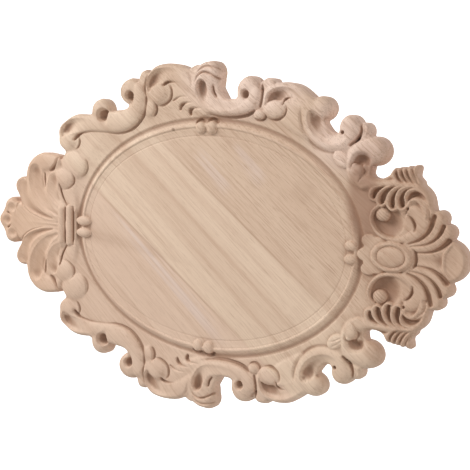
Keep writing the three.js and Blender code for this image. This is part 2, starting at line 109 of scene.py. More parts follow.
class Along:
    """Each point's place in a band: how far out in half widths, on which side, and the path's sizes there."""

    def __init__(self, path):
        spine = catmull(path)
        reach = spine[:, 2].max() + 1
        self.patch = Patch(spine[:, 0].min() - reach, spine[:, 0].max() + reach,
                           spine[:, 1].min() - reach, spine[:, 1].max() + reach)
        x, y = self.patch.x, self.patch.y
        self.far = np.full(x.shape, 1e9)
        self.side = np.zeros(x.shape)
        self.half = np.ones(x.shape)
        self.deep = np.ones(x.shape)
        for a, b in zip(spine, spine[1:]):
            step = b - a
            length = max(math.hypot(step[0], step[1]), 1e-9)
            run = np.clip(((x - a[0]) * step[0] + (y - a[1]) * step[1]) / length ** 2, 0, 1)
            width = np.maximum(a[2] + run * step[2], 0.05)
            far = np.hypot(x - a[0] - run * step[0], y - a[1] - run * step[1]) / width
            near = far < self.far
            self.far[near] = far[near]
            self.half[near] = width[near]
            self.side[near] = np.sign(step[0] * (y - a[1]) - step[1] * (x - a[0]))[near]
            if len(a) > 3:
                self.deep[near] = (a[3] + run * step[3])[near]


def turned(at, reach, turn=0):
    """A window round an ellipse. For each of its points, how far out it is as a share, and how far right."""
    angle = math.radians(turn)
    span = max(reach) + 1
    patch = Patch(at[0] - span, at[0] + span, at[1] - span, at[1] + span)
    dx, dy = patch.x - at[0], patch.y - at[1]
    ex = (dx * math.cos(angle) + dy * math.sin(angle)) / reach[0]
    ey = (-dx * math.sin(angle) + dy * math.cos(angle)) / reach[1]
    return patch, np.hypot(ex, ey), dx / (np.hypot(dx, dy) + 1e-9)


def raise_to(patch, level, inside, fill=False):
    """Joins a shape to the map: its level where it is the highest. A fill stays inside the outline so far."""
    weight = np.clip(0.5 + inside / SOFT, 0, 1)
    now = height[patch.window]
    if fill:
        weight = weight * (now > 0)
    base = np.where(now < 0, level, now)
    joined = np.maximum(base, base + weight * (level - base))
    height[patch.window] = np.where(weight > 0, joined, now)
    if not fill:
        edge[patch.window] = np.maximum(edge[patch.window], inside)


def cut_by(patch, depth):
    """Lowers the map, but not below the lowest level that is left at the foot of a cut."""
    now = height[patch.window]
    height[patch.window] = np.where(now > 0, np.maximum(now - depth, np.minimum(now, LOWEST)), now)


def band(path, top, drop, fill=False):
    """A raised band with a round back, along a path of [x, y, half width]; the drop is its sides' fall."""
    way = Along(path)
    v = np.clip(way.far, 0, 1)
    fall = drop * (1 - np.sqrt(np.clip(1 - v * v, 0, 1)))
    raise_to(way.patch, top - fall, (1 - way.far) * way.half, fill)


# How much of a half ball a knob takes up
DOME = 0.95


def knob(at, reach, top, drop, turn=0, fill=False, right=None):
    """A dome on an ellipse: its middle, reach, top and drop. Its right side can roll further down."""
    patch, r, east = turned(at, reach, turn)
    deepest = drop + ((right or drop) - drop) * np.clip(east, 0, 1)
    fall = deepest * (1 - np.sqrt(np.clip(1 - (DOME * r) ** 2, 0, 1)))
    inside = (1 - r) * (min(reach) + max(reach)) / 2
    raise_to(patch, top - fall, inside, fill)


def gouge(path, lean=0.0, soft=False):
    """A cut along a path: [x, y, half width, depth]. It leans to the left (+) or right (-) of its way."""
    way = Along(path)
    across = np.clip(way.far, 0, 1) * way.side
    share = np.where(across < lean, (across + 1) / (1 + lean), (1 - across) / (1 - lean))
    share = np.where(way.far < 1, np.clip(share, 0, 1), 0)
    form = share * share * (3 - 2 * share) if soft else share * (2 - share)
    cut_by(way.patch, way.deep * form)


# How steeply a dent falls from its edge: the higher, the softer
SOFT_DENT = 1.6
FIRM_DENT = 0.8


def dent(at, reach, depth, turn=0, soft=False):
    """A cut on an ellipse."""
    patch, r, _ = turned(at, reach, turn)
    share = np.clip(1 - r * r, 0, 1)
    cut_by(patch, depth * share ** (SOFT_DENT if soft else FIRM_DENT))


def round_line(at, reach, start, end, half, depth):
    """A thin cut along part of an ellipse, such as under the right side of a ball; it fades at both ends."""
    path = []
    for share, keep in ((0, 0.2), (0.2, 0.8), (0.5, 1), (0.8, 0.8), (1, 0.2)):
        angle = math.radians(start + (end - start) * share)
        path.append((at[0] + reach[0] * math.cos(angle), at[1] + reach[1] * math.sin(angle),
                     half * (0.5 + 0.5 * keep), depth * keep))
    gouge(path)


def both_ways(half):
    """The map and its mirror image below the long axis."""
    return np.vstack([half[:0:-1], half])


def blurred(values, reach, spread=2.5):
    """Values of a whole map, evened out over a distance; the spread is how many times as far it looks."""
    size = int(spread * reach / CELL) + 1
    found = values
    for axis in (0, 1):
        total = np.zeros(values.shape)
        weights = 0.0
        for step in range(-size, size + 1):
            weight = math.exp(-0.5 * (step * CELL / reach) ** 2)
            total += weight * np.roll(found, step, axis)
            weights += weight
        found = total / weights
    return found


SANDING_SPREAD = 3


def smooth(reach):
    """Softens the carving inside its outline, as sanding does."""
    there = blurred(both_ways((height > 0).astype(float)), reach, SANDING_SPREAD)
    total = blurred(both_ways(np.where(height > 0, height, 0)), reach, SANDING_SPREAD)
    found = total / np.maximum(there, 1e-9)
    height[:] = np.where(height > 0, found[ROWS - 1:], height)


# The ground under the border; it rises a little from the ring towards the scrolls
GROUND = [
    (-152, 0), (-150, 30), (-137, 40), (-119, 40), (-113, 54), (-111, 66), (-88, 72), (-56, 74), (-52, 90),
    (-30, 98), (-8, 96), (8, 92), (16, 79), (30, 79), (37, 87), (56, 86), (68, 77), (79, 62), (90, 59),
    (97, 58), (103, 53), (106, 47), (107.5, 43), (110, 39.5), (131, 40), (139, 28), (147, 16), (151, 8),
    (151, 0),
]
GROUND_RISE = 1.7
RISE_WIDTH = 13
BELOW_AXIS = -9
OUTWARD_ROUNDS = 12
FARTHEST_OUT = 60


def outward():
    """How far each point is outside the crest of the ring, measured square to it, found in rounds."""
    angle = np.arctan2(Y / OVAL_HIGH, X / OVAL_LONG)
    out = np.zeros(X.shape)
    for _ in range(OUTWARD_ROUNDS):
        px, py = (OVAL_LONG + out) * np.cos(angle), (OVAL_HIGH + out) * np.sin(angle)
        nx, ny = np.cos(angle) * (OVAL_HIGH + out), np.sin(angle) * (OVAL_LONG + out)
        more = ((X - px) * nx + (Y - py) * ny) / (np.hypot(nx, ny) + 1e-9)
        out = np.clip(out + more, -FARTHEST_OUT, FARTHEST_OUT)
        angle = np.arctan2(Y / (OVAL_HIGH + out), X / (OVAL_LONG + out))
    return out


OUT = outward()


def ground():
    """Raises the ground inside its outline, which is closed below the long axis."""
    corners = GROUND + [(GROUND[-1][0], BELOW_AXIS), (GROUND[0][0], BELOW_AXIS)]
    within = np.zeros(X.shape, bool)
    nearest = np.full(X.shape, 1e9)
    for (ax, ay), (bx, by) in zip(corners, corners[1:] + corners[:1]):
        if ay != by:
            crosses = (ay > Y) != (by > Y)
            within ^= crosses & (X < ax + (Y - ay) / (by - ay) * (bx - ax))
        length = (bx - ax) ** 2 + (by - ay) ** 2
        run = np.clip(((X - ax) * (bx - ax) + (Y - ay) * (by - ay)) / length, 0, 1)
        nearest = np.minimum(nearest, np.hypot(X - ax - run * (bx - ax), Y - ay - run * (by - ay)))
    share = np.clip((OUT - COVE_WIDTH) / RISE_WIDTH, 0, 1)
    level = GROUND_TOP + GROUND_RISE * share * share * (3 - 2 * share)
    raise_to(WHOLE, level[WHOLE.window], np.where(within, nearest, -nearest)[WHOLE.window])


def oval_field():
    """The ring moulding, its cove and the field, by the distance outwards from the ring's crest."""
    places = (-6.0, -5.75, -5.4, -5.05, -4.6, -3.0, -1.6, -1.2, -0.9, -0.6, 0.0, 0.8, 1.8, 3.0, 4.2, 5.2, 6.0)
    levels = (9.4, 9.35, 8.85, 9.35, 9.4, 9.5, 9.8, 9.8, 9.5, 10.2, 10.8, 10.6, 9.8, 8.5, 7.9, 8.3, 9.1)
    level = np.interp(OUT, places, levels)
    inside = (COVE_WIDTH - OUT)[WHOLE.window]
    weight = np.clip(0.5 + inside / FIELD_SOFT, 0, 1)
    height[WHOLE.window] += np.where(weight > 0, weight * (level[WHOLE.window] - height[WHOLE.window]), 0)


ground()

# Leaves in the notches, under the scrolls
for at, reach in (
        ((-48.6, 97.2), (4.2, 5.2)), ((-9, 100), (4.4, 4)), ((41.8, 91.2), (4.4, 3.8)),
        ((45, 91.6), (3.2, 3)), ((102.7, 65), (4.4, 4.9)), ((103, 47.6), (5, 9))):
    knob(at, reach, LEAF_TOP, 2.6)
band([(-1, 78, 5), (-9, 81.4, 5), (-15, 84.6, 5), (-21, 89, 5)], LEAF_TOP + 0.6, 1.6, fill=True)
band([(54, 80, 8), (62, 76.5, 11), (71, 68, 8)], LEAF_TOP + 0.9, 1.5, fill=True)
knob((-42.6, 78.4), (5.2, 5.4), LEAF_TOP + 1.6, 3)

# The scrolls, each a band with a knob at its curled end; the knob rolls down on its right side
SCROLL_DROP = 3.2
SIDE_ROLL = 11
for path in (
        [(-51, 90, 5), (-51.5, 84, 5.2), (-54.5, 76.5, 6), (-61.5, 71.8, 6.6), (-72, 69.9, 7.1),
         (-84, 68.6, 5.8), (-95, 69, 5.6), (-107, 67.8, 6.8), (-115.8, 62.8, 7.2)],
        [(-7, 89, 4.5), (-13.5, 94.4, 5.5), (-21, 98.2, 6), (-30.5, 99.5, 5.8), (-38, 98, 6),
         (-42, 92.5, 5.4), (-41.5, 87, 5)],
        [(34.5, 86, 4), (32.5, 82, 4.6), (27, 79, 4.9), (17.5, 78.3, 5), (8, 79.2, 5.4), (1.4, 83, 6.5),
         (-2, 89, 7)],
        [(45, 79, 5.2), (45.6, 85, 5.2), (52, 87.4, 4.6), (59.5, 85.6, 5.6), (66.2, 80.4, 6.3), (71, 76, 6)],
        [(70.4, 78, 4.6), (71.8, 71.5, 5.8), (74.6, 65, 6.4), (80.5, 60.2, 5.4), (87, 59.2, 4.8),
         (92.4, 61.6, 5.2), (95, 66, 5)],
        [(106.5, 56, 5), (100.5, 54.4, 5), (98.2, 48.5, 4.6), (99.5, 42, 4.4), (104.5, 38.4, 4),
         (112, 37.5, 2.8)]):
    band(path, SCROLL_TOP, SCROLL_DROP)
for at, reach, lift, drop in (
        ((-58.9, 88.8), (9.7, 8.5), 0, 5), ((-84.8, 76.8), (8.2, 8.1), 0, 5.4),
        ((-113, 57.3), (10.2, 7.6), 0.2, 5), ((-35.8, 87.2), (10.4, 7.7), 0.6, 4.6),
        ((-0.2, 94.6), (9.8, 10.8), 0.4, 3.6), ((3.4, 98.6), (6.8, 7.2), 0, 4),
        ((29.6, 87.5), (8.5, 8.9), 0, 4.6), ((76.8, 77.3), (7.5, 6.8), 0.2, 6),
        ((94.4, 67.4), (6.7, 6.6), 0, 5), ((108.9, 54.8), (8.4, 7.8), 0, 5.6)):
    knob(at, reach, SCROLL_TOP + lift, drop, right=SIDE_ROLL)

# The fan: lobes that curl over beside a broad middle leaf
for path, lift in (
        ([(-118, 0, 5.5), (-135, 0, 6), (-150, 0, 9), (-162, 0, 13.5), (-168, 0, 13.4)], -0.8),
        ([(-119, 4.5, 2), (-136.2, 8, 2.6), (-148.6, 13.5, 5), (-156.4, 20, 6.4), (-159.3, 25, 6.4)], -0.4),
        ([(-119, 8, 2.4), (-132, 12, 3), (-141.6, 18.5, 5.6), (-146.6, 27.2, 7.4), (-146, 36.2, 7.6),
          (-138.8, 42.2, 6.4), (-126, 42.6, 5)], -0.2),
        ([(-117, 11.5, 2), (-126, 15.5, 3.6), (-129.4, 22, 5.2), (-127, 29, 6), (-121, 33, 6)], -0.6)):
    band(path, SCROLL_TOP + lift, 2)
band([(-122, 5, 5), (-132, 12, 6), (-142, 18, 8), (-150, 22, 8)], SCROLL_TOP - 1.2, 1, fill=True)
band([(-147.5, 38.5, 5), (-142, 42.8, 6), (-134, 43.8, 6.8), (-124.5, 43, 6.6)],
     SCROLL_TOP + 0.2, 4, fill=True)
knob((-170.4, 9.8), (6.4, 6.6), SCROLL_TOP, 3.4)
knob((-176.5, 0), (6.4, 5.8), SCROLL_TOP, 3)
band([(-108, 12, 3), (-112, 20, 5.4), (-114, 28, 6)], GROUND_TOP + 2.6, 1.6)
knob((-110, 42), (10.8, 9.2), SCROLL_TOP, 5, turn=-4)
knob((-106.8, 41), (10.6, 9), SCROLL_TOP + 0.2, 4.6, fill=True)
knob((-117.8, 31.8), (9.8, 7.6), SCROLL_TOP + 0.9, 5.4)

# The shell, the volute and the plate that bears the feathers
band([(104, 38, 2.6), (114, 38.4, 2), (126, 38.6, 2), (133.4, 37, 2.4), (138.2, 32.5, 3), (139.8, 26, 3.4)],
     SCROLL_TOP - 0.5, 2.2)
knob((125.2, 19.8), (16.4, 9.6), SHELL_TOP - 1, 1.4)
band([(131, 6, 3.6), (139, 8.5, 5.4), (145, 13, 7.4)], SHELL_TOP - 0.5, 1.2)
band([(129, 8, 1.4), (138.4, 11, 2.2), (143.2, 16.6, 3.4), (146, 21.6, 4.2)], SHELL_TOP, 1.6)
band([(131, 5.3, 1.4), (140, 6.9, 2.1), (146.4, 10.2, 3.1), (150.2, 14.6, 4.3)], SHELL_TOP, 1.6)
band([(130, 0, 3.2), (140, 0, 4), (146, 0, 7.6), (150.4, 0, 11.4)], SHELL_TOP - 0.7, 1.6)
for foot, tip in ((120.2, 44.9), (123.8, 45.5), (127.6, 46.1), (131.7, 46.7)):
    band([(foot + 3, 39, 1.6), (foot + 0.2, 42, 1.8), (foot + 0.8, tip, 1.7)], SCROLL_TOP - 0.5, 2.4)
band([(114, 39.2, 1.2), (118, 40.6, 1.8), (121.4, 42.4, 2.2)], LEAF_TOP, 1.4)
band([(122.5, 41.5, 2.6), (127, 42.5, 3.6), (132.5, 43.5, 3.8)], SCROLL_TOP - 0.5, 1.6, fill=True)
band([(112, 33, 4), (118, 33, 5), (126, 32.6, 6), (131, 33, 5)], SCROLL_TOP - 1, 1.2, fill=True)
FIRST_SANDING = 0.75
smooth(FIRST_SANDING)
oval_field()

# Bowls and eyes of the scrolls
gouge([(-57.4, 80.5, 2, 0.4), (-58, 84.6, 3.4, 3), (-58.6, 86, 4, 3.4)], soft=True)
dent((-58.8, 86.2), (3.6, 3.3), 4)
gouge([(-81.6, 74, 4.6, 3), (-79.6, 70.6, 3.6, 2), (-78, 67.6, 2, 0.3)], soft=True)
dent((-82, 74.2), (4.8, 4.5), 6)
dent((-76.4, 78.6), (2.2, 1.6), 2, soft=True)
gouge([(-116.4, 61.4, 2.2, 2), (-115, 64, 4, 5), (-110.4, 66.4, 4.8, 4.2), (-103.6, 67.4, 4.8, 2.2),
       (-94, 67.8, 3.8, 0.3)], lean=0.3)
gouge([(-42, 90, 2, 2.4), (-41.2, 93.6, 3.8, 5.4), (-36.6, 97, 4.8, 4.2), (-29.8, 98, 4.8, 2.2),
       (-20, 97.2, 4, 0.3)], lean=0.3)
gouge([(-2.6, 91.4, 3.8, 6.4), (-2, 88.4, 4.4, 5.6), (0.2, 83.8, 4.2, 3), (4.4, 80.4, 3.4, 1.5),
       (12, 79, 2.8, 0.9), (20, 79, 2.4, 0.7), (26.5, 81, 2, 0.3)], lean=-0.2)
dent((11, 88), (2, 2.2), 2.2, soft=True)
dent((28.3, 85.8), (3.1, 2.8), 4.8)
gouge([(28.6, 84.4, 3, 2), (29.6, 81, 2, 0.3)], soft=True)
gouge([(44.2, 79.8, 2.4, 3.6), (46.4, 83.2, 3.7, 6.4), (50.8, 84.8, 4.2, 4.8), (57, 84.6, 4.2, 2.6),
       (63.5, 82, 3.8, 1.2), (69.5, 78.6, 2.8, 0.2)], lean=0.2)
gouge([(72.4, 73.2, 3.2, 3.6), (73.8, 70.8, 4.4, 5.6), (77, 66.6, 4.9, 4.4), (82, 63, 4.6, 3.2),
       (88.6, 61.8, 3.6, 1.6), (92.6, 63.4, 2, 0.4)], lean=-0.2)
gouge([(65.6, 78, 1.2, 0.4), (65, 72, 1.8, 1.4), (67.4, 64.4, 2, 1.6), (73, 57.8, 2, 1.4),
       (80, 54.2, 1.6, 0.8), (87, 53.2, 1, 0.3)], soft=True)
dent((80, 71.4), (1.8, 1.2), 3)
dent((90.8, 64.4), (1.4, 1.1), 4)
gouge([(108.5, 49.4, 2, 0.6), (105, 50.4, 4, 4.4), (101.2, 50.2, 4.8, 6.6), (98.6, 47, 3.8, 6)], soft=True)
gouge([(105.8, 47.4, 2.4, 1.4), (105.2, 43.5, 2.2, 1.2), (103.6, 40.4, 1.2, 0.4)], soft=True)

# Knobs inside the bowls
knob((48, 76.8), (7.6, 5.4), SCROLL_TOP + 0.4, 4.4)
knob((37.8, 74), (3.9, 2.9), LEAF_TOP + 1.8, 3.4)
for at, reach, start, end, half, depth in (
        ((-111.5, 56.8), (8.4, 7), 30, -50, 1.1, 1.8), ((-35.8, 87.2), (10.2, 7.7), 40, -95, 1.2, 2),
        ((-42.6, 78.4), (5, 5.6), 40, -70, 1.2, 2.4), ((48, 76.8), (7.8, 5.7), 35, -110, 1.1, 1.8),
        ((37.8, 74), (4.2, 3.3), 20, -150, 0.9, 1.4)):
    round_line(at, reach, start, end, half, depth)
band([(98.6, 46.4, 2), (98.8, 43, 2.2), (100.2, 38.6, 1.8), (103.6, 35.4, 1.4)],
     SCROLL_TOP - 0.3, 2.6, fill=True)
knob((99.6, 43.7), (3.9, 4), SCROLL_TOP + 0.6, 4.8)
knob((90.4, 50), (5.6, 3.8), LEAF_TOP + 1.8, 3, turn=-38)

# Thin lines: where one scroll lies over the next, and the veins of the leaves
for path in (
        [(-107.4, 58.2, 1.2, 3.2), (-105, 60.4, 1.3, 3.6), (-101.4, 62, 1, 1.8), (-92.7, 63.3, 0.8, 0.9),
         (-80, 63, 0.8, 0.8), (-68.7, 62.4, 0.9, 1.1), (-58.4, 65, 1.2, 1.6), (-50.8, 70.6, 1.3, 1.8),
         (-46.2, 77.2, 1.3, 1.8), (-45.2, 84.8, 1.1, 1.4)],
        [(-45.4, 86, 0.9, 1), (-46.4, 90, 1.1, 1.8), (-45.8, 95.6, 1.1, 1.8), (-43.4, 100, 0.9, 1)],
        [(-31.8, 92.4, 1.1, 3.4), (-29.4, 93.6, 1, 2.8), (-25.5, 93.8, 0.8, 1.4), (-20.6, 92.8, 0.6, 0.3)],
        [(-24.6, 82.6, 0.7, 1.4), (-21.6, 84, 0.8, 1.2), (-17.8, 84.8, 0.7, 0.8), (-12.6, 84.7, 0.5, 0.2)],
        [(-19.6, 77.6, 1.1, 2), (-18.8, 79.4, 1.4, 2.9), (-15.6, 80.9, 1, 1.8), (-10, 81.3, 0.6, 0.3)],
        [(-11.8, 74.6, 1.2, 2.4), (-12.2, 76.2, 1.5, 3.2), (-9.2, 77.8, 1, 1.8), (-2.8, 77.8, 0.6, 0.3)],
        [(-12.4, 98.6, 0.9, 0.8), (-10.4, 95.6, 1, 1), (-9.4, 91, 0.9, 0.4)],
        [(-5.6, 99, 0.6, 0.8), (-2.7, 101.5, 0.8, 1.8), (0.9, 102.3, 0.8, 1.9), (6.4, 101.3, 0.8, 1.9),
         (11.4, 99.8, 0.6, 1.4)],
        [(-7.3, 93.5, 0.5, 0.5), (-4.9, 97.5, 0.8, 1.8), (-0.8, 98.9, 0.9, 2.4), (3.7, 97.7, 0.9, 2.4),
         (8, 95.2, 0.9, 2.2), (12, 94, 0.6, 1.4)],
        [(5.1, 90.4, 0.8, 2.4), (5.7, 87.4, 0.8, 3.2), (8, 84.3, 0.7, 1.8)],
        [(-0.4, 75.4, 0.6, 0.3), (7.8, 73.4, 0.9, 1.2), (16.8, 72.4, 1, 1.8), (23.8, 72.8, 1.1, 2.4),
         (30.4, 74.3, 1.2, 2.8), (33.8, 76, 1, 1.4)],
        [(38.8, 93.4, 0.7, 1), (39.2, 89, 1, 2.2), (39.4, 84, 1, 2.2), (38, 78.6, 0.9, 1.6)],
        [(47.2, 93.6, 0.7, 1.4), (47.6, 90.8, 0.7, 1)],
        [(53.2, 79.4, 0.7, 1.6), (54.2, 82, 0.8, 2.8), (57.2, 83.1, 0.6, 1), (60, 82.8, 0.4, 0.2)],
        [(101.2, 68.8, 0.9, 1.6), (101.4, 64.4, 1.1, 3), (99.4, 61, 1.2, 3.2), (95.4, 57.8, 1, 2)],
        [(104.8, 68.4, 0.8, 0.9), (106, 66.2, 0.9, 1.2), (105, 63.6, 0.8, 0.9)],
        [(103, 68, 0.6, 0.6), (103.8, 65.6, 0.7, 0.8), (103, 63.4, 0.6, 0.6)],
        [(102.6, 47.4, 0.7, 1.4), (103.9, 44.2, 0.8, 1.6), (102.8, 41, 0.8, 1.4), (101.6, 38.4, 0.6, 0.5)],
        [(86.4, 50.8, 0.5, 0.4), (90, 49.6, 0.6, 0.8), (93.6, 47.6, 0.5, 0.6)],
        [(88.4, 53.2, 0.5, 0.4), (91, 51.6, 0.6, 0.8), (94, 49.4, 0.5, 0.5)]):
    gouge(path)

# The fan's scoops, its small hollows and lines
for path in (
        [(-122, 1.2, 1, 0.4), (-138, 1.4, 2.2, 0.8), (-148, 2, 4.6, 1.2), (-158, 2, 8.6, 1.2)],
        [(-128, 3.6, 0.9, 0.8), (-140, 6.6, 2.4, 2), (-149.6, 11.4, 4, 2.8), (-155.6, 18.4, 5.2, 3),
         (-157.2, 26, 5.2, 3)],
        [(-123, 6.8, 1.4, 0.6), (-132.4, 12, 3.3, 2), (-139.8, 19.3, 5.4, 3), (-143.2, 27.8, 6.8, 3.6),
         (-144, 34.8, 6.2, 3.8)],
        [(-121.4, 13.8, 1.6, 0.8), (-126, 18.6, 3.8, 2), (-128.2, 24, 5, 2.8), (-127.4, 30, 5.2, 3.2)]):
    gouge(path)
for at in ((-168.4, 9.2), (-173.4, 0)):
    dent(at, (4.6, 3.8), 2.2, soft=True)
for path in (
        [(-162.6, 20.5, 0.7, 0.7), (-157.6, 11, 0.7, 0.9), (-149.6, 5.9, 0.6, 0.8), (-138, 2.8, 0.5, 0.5)],
        [(-136, 34.4, 0.6, 2), (-136, 30, 0.8, 3.4), (-135.4, 25.4, 0.5, 1.4)],
        [(-120.6, 27.4, 0.8, 3.2), (-120.2, 22.6, 0.8, 3.4), (-117.8, 17.6, 0.7, 2.6), (-115, 13.8, 0.5, 1)],
        [(-130.4, 36.6, 1.2, 1.2), (-127, 38.4, 1.5, 4), (-124.6, 41, 1.2, 3), (-122.6, 45, 1, 1.6)],
        [(-162.4, 14.6, 0.8, 1.6), (-165, 5.4, 0.6, 0.5)],
        [(-172.8, 5.4, 0.9, 2), (-169.4, 3.2, 0.7, 0.6)]):
    gouge(path)
round_line((-117.8, 31.8), (9.9, 7.8), 40, -85, 1, 1.4)
round_line((-106.8, 41), (10.6, 9.1), 30, -60, 1, 1.2)

# The collar and the beads
band([(-119.6, -10.4, 3.1), (-119.6, 0, 3.1), (-119.6, 10.4, 3.1)], SCROLL_TOP + 0.8, 3.4)
band([(-112.4, -11.4, 3), (-112.4, 0, 3), (-112.4, 11.4, 3)], SCROLL_TOP + 0.3, 3.4)
gouge([(-116, -12, 0.6, 2), (-116, 12, 0.6, 2)])
gouge([(-109, -13, 0.6, 1.6), (-109, 13, 0.6, 1.6)])
band([(-107, -12, 0.9), (-107, 0, 0.9), (-107, 12, 0.9)], LEAF_TOP + 0.4, 1.6)
knob((-99.8, 3.9), (6.4, 3.3), RING_TOP + 1.8, 4)
knob((97.6, 3.6), (3.8, 2.9), RING_TOP + 1.4, 3.4)
knob((-3.8, 66.6), (3.4, 3.8), RING_TOP + 1.2, 3.4)
knob((4.4, 66.6), (3.9, 4.1), RING_TOP + 1.6, 4.4)
gouge([(-7.4, 69.6, 0.9, 1.8), (-4.6, 70.9, 1.1, 2.6), (-1.6, 70, 0.8, 1.4)])
gouge([(1.6, 70.8, 0.9, 1.8), (5, 71.5, 1.1, 2.8), (8.4, 69.6, 0.9, 1.8)])

# The stem and the feathers above and below it
band([(104, 36.4, 2), (109, 37.5, 1.7), (116, 38, 1.5), (124, 38.1, 1.5), (130, 37.9, 1.5),
      (134.6, 36.8, 1.9), (138, 33.6, 2.8), (140.2, 29, 3.2), (140.6, 24, 3)], SCROLL_TOP, 2.2, fill=True)
gouge([(115, 40, 0.7, 1), (118.6, 40.7, 1, 2.2), (121.4, 40.4, 0.8, 1)])
for path in (
        [(121.9, 46.6, 0.8, 2.4), (122.6, 42.8, 1.1, 3.4), (125, 39.8, 1, 2.4), (129, 38.2, 0.6, 0.5)],
        [(124.6, 48, 0.8, 2.6), (125.4, 43.6, 1.1, 3.4), (127.9, 40, 1, 2.4), (131.8, 38, 0.6, 0.5)],
        [(127.4, 49, 0.7, 2.2), (128.3, 44, 1, 3), (130.8, 40, 0.9, 2.2), (134.6, 37.6, 0.6, 0.5)],
        [(130.6, 49.6, 0.6, 1.8), (131.6, 44, 0.9, 2.4), (133.8, 40, 0.8, 1.8), (136.8, 36.8, 0.6, 0.5)],
        [(133.6, 49.8, 0.5, 1.4), (134, 45.6, 0.7, 1.6), (135.4, 41.8, 0.6, 0.8)]):
    gouge(path, lean=-0.3)
for path in (
        [(110, 30.8, 1.2, 3.4), (110.8, 33, 1.7, 4.2), (113.2, 35, 1.4, 3.2), (116.2, 36.4, 0.6, 0.8)],
        [(114.7, 28.6, 1.4, 4), (115.4, 31.2, 2.1, 5), (117.9, 34.4, 1.8, 3.8), (121.8, 36.6, 0.7, 0.8)],
        [(120.6, 26.8, 1.4, 4), (120.9, 29.6, 1.8, 5), (122.5, 33, 1.6, 4), (126.6, 36.4, 0.7, 0.8)],
        [(126.2, 27.4, 1.5, 4.8), (125.9, 30.4, 1.8, 5.2), (127.3, 33.5, 1.5, 4), (131.8, 36.4, 0.7, 0.8)],
        [(129.6, 30.8, 1.2, 3.4), (131.6, 32.8, 1.7, 4.6), (135, 33.2, 1.6, 4), (138.2, 31.4, 1.2, 2.6),
         (140.4, 29, 0.6, 0.6)]):
    gouge(path)

# The volute: its bowl, the leaf that curls into it, its thin rim and its ball
dent((118.6, 18.6), (10, 8.6), 5.2, turn=-12)
band([(129.8, 25.4, 1.8), (133.4, 24.4, 3.2), (136.2, 20.8, 4), (136.8, 16.6, 3.8), (134, 12.6, 3),
      (130, 10.8, 2.2)], SHELL_TOP + 0.3, 2.4, fill=True)
for path in (
        [(114.6, 37, 0.6), (110.4, 35.6, 0.8), (108.5, 33.2, 1.15), (108.7, 30.4, 1.15), (111, 29, 0.8),
         (112.6, 30.2, 0.6)],
        [(119.6, 37, 0.6), (115.4, 35, 0.8), (113, 32, 1.15), (112.7, 28.6, 1.15), (114.6, 26.4, 0.9),
         (117, 27.6, 0.6)],
        [(127, 37.3, 0.5), (123.6, 36.6, 0.7), (120, 34.3, 0.8), (118.4, 31, 1.15), (118.5, 27.2, 1.15),
         (120.8, 24.6, 0.9), (123.6, 25.2, 0.6)],
        [(132, 37.3, 0.5), (127.5, 36.5, 0.7), (124.3, 34.4, 0.8), (123.2, 31, 1.15), (123.8, 27.4, 1.15),
         (126, 25, 0.9), (128.8, 25.8, 0.6)],
        [(140.2, 31.6, 0.6), (137, 35, 0.8), (132.3, 35.7, 0.9), (129, 34.2, 0.9), (128, 31.6, 0.9),
         (128.6, 29.4, 0.7)],
        [(129.6, 26.6, 0.8), (130.8, 29.6, 1), (134, 30.6, 1.1), (137.2, 28, 0.9), (139, 23.6, 0.8),
         (139.4, 18.6, 0.6)]):
    band(path, SCROLL_TOP - 0.1, 1.8, fill=True)
gouge([(137.4, 30, 0.7, 0.8), (140.6, 26.4, 1, 1.6), (141.4, 21.6, 1, 1.6), (140.8, 17.4, 0.8, 0.5)])
band([(112.9, 26, 0.8), (110.4, 23.6, 0.9), (109.2, 19.8, 1), (110.6, 15.4, 1), (114, 11.6, 1.1),
      (118.8, 9.6, 1.2), (124.7, 9.2, 1.5), (130.2, 10.6, 2.4), (135.2, 14, 3), (138.8, 18.8, 3)],
     SHELL_TOP + 0.2, 1.8)
knob((115.5, 21.9), (4.1, 3.9), SCROLL_TOP, 5)
gouge([(129.6, 22.2, 0.7, 1), (132, 20.6, 0.9, 2.2), (133.8, 17.8, 1, 2.8), (134, 14.6, 0.8, 1.6)])
gouge([(129.4, 25.4, 0.9, 1.8), (128, 22, 0.9, 1), (128.4, 18.7, 0.8, 0.6)])
dent((129.6, 25.8), (1, 0.9), 3)

# The shell's grooves, its hollow middle and its rolled tip
for path in (
        [(130.8, 7.7, 0.7, 1.4), (136, 9.8, 1.1, 2.6), (140.2, 13.2, 1.4, 3.4), (142.6, 17.6, 1.8, 4),
         (144, 22.4, 1.7, 3.6)],
        [(132, 6.3, 0.6, 1), (139.8, 7.8, 0.8, 1.8), (144.8, 10.8, 1.1, 2.8), (147.8, 14.8, 1.5, 3.8),
         (148.8, 17.6, 1.6, 3.6)],
        [(134.4, 3.3, 0.6, 1), (142.6, 4.3, 0.9, 2), (148.4, 7.2, 1.4, 3.2), (151.8, 10.6, 1.8, 4)]):
    gouge(path, lean=0.2)
gouge([(134.6, 0, 3.2, 1), (141, 0, 4, 1.5), (147, 0, 6.4, 2.3)], soft=True)
gouge([(133.4, 5.4, 0.6, 0.8), (134.8, 3, 0.9, 2.2), (135.1, 0, 0.9, 2.2)])
knob((156.4, 0), (6.8, 11.4), SHELL_TOP + 0.1, 1.6, fill=True)
band([(153.6, 8.8, 0.7), (150.9, 5.4, 0.9), (149.9, 1.8, 1), (149.9, 0, 1)], SHELL_TOP + 0.6, 1.2, fill=True)
dent((155.6, 0), (5, 8.6), 1.3, soft=True)

# The cabochon in its ring, on a plate of petals
knob((106.5, 0), (4.8, 3.8), LEAF_TOP + 0.8, 0.9)
knob((108.4, 7.6), (4.6, 3.4), LEAF_TOP + 0.8, 0.9)
knob((112.6, 2.4), (7.6, 7.4), LEAF_TOP + 0.8, 0.6, fill=True)


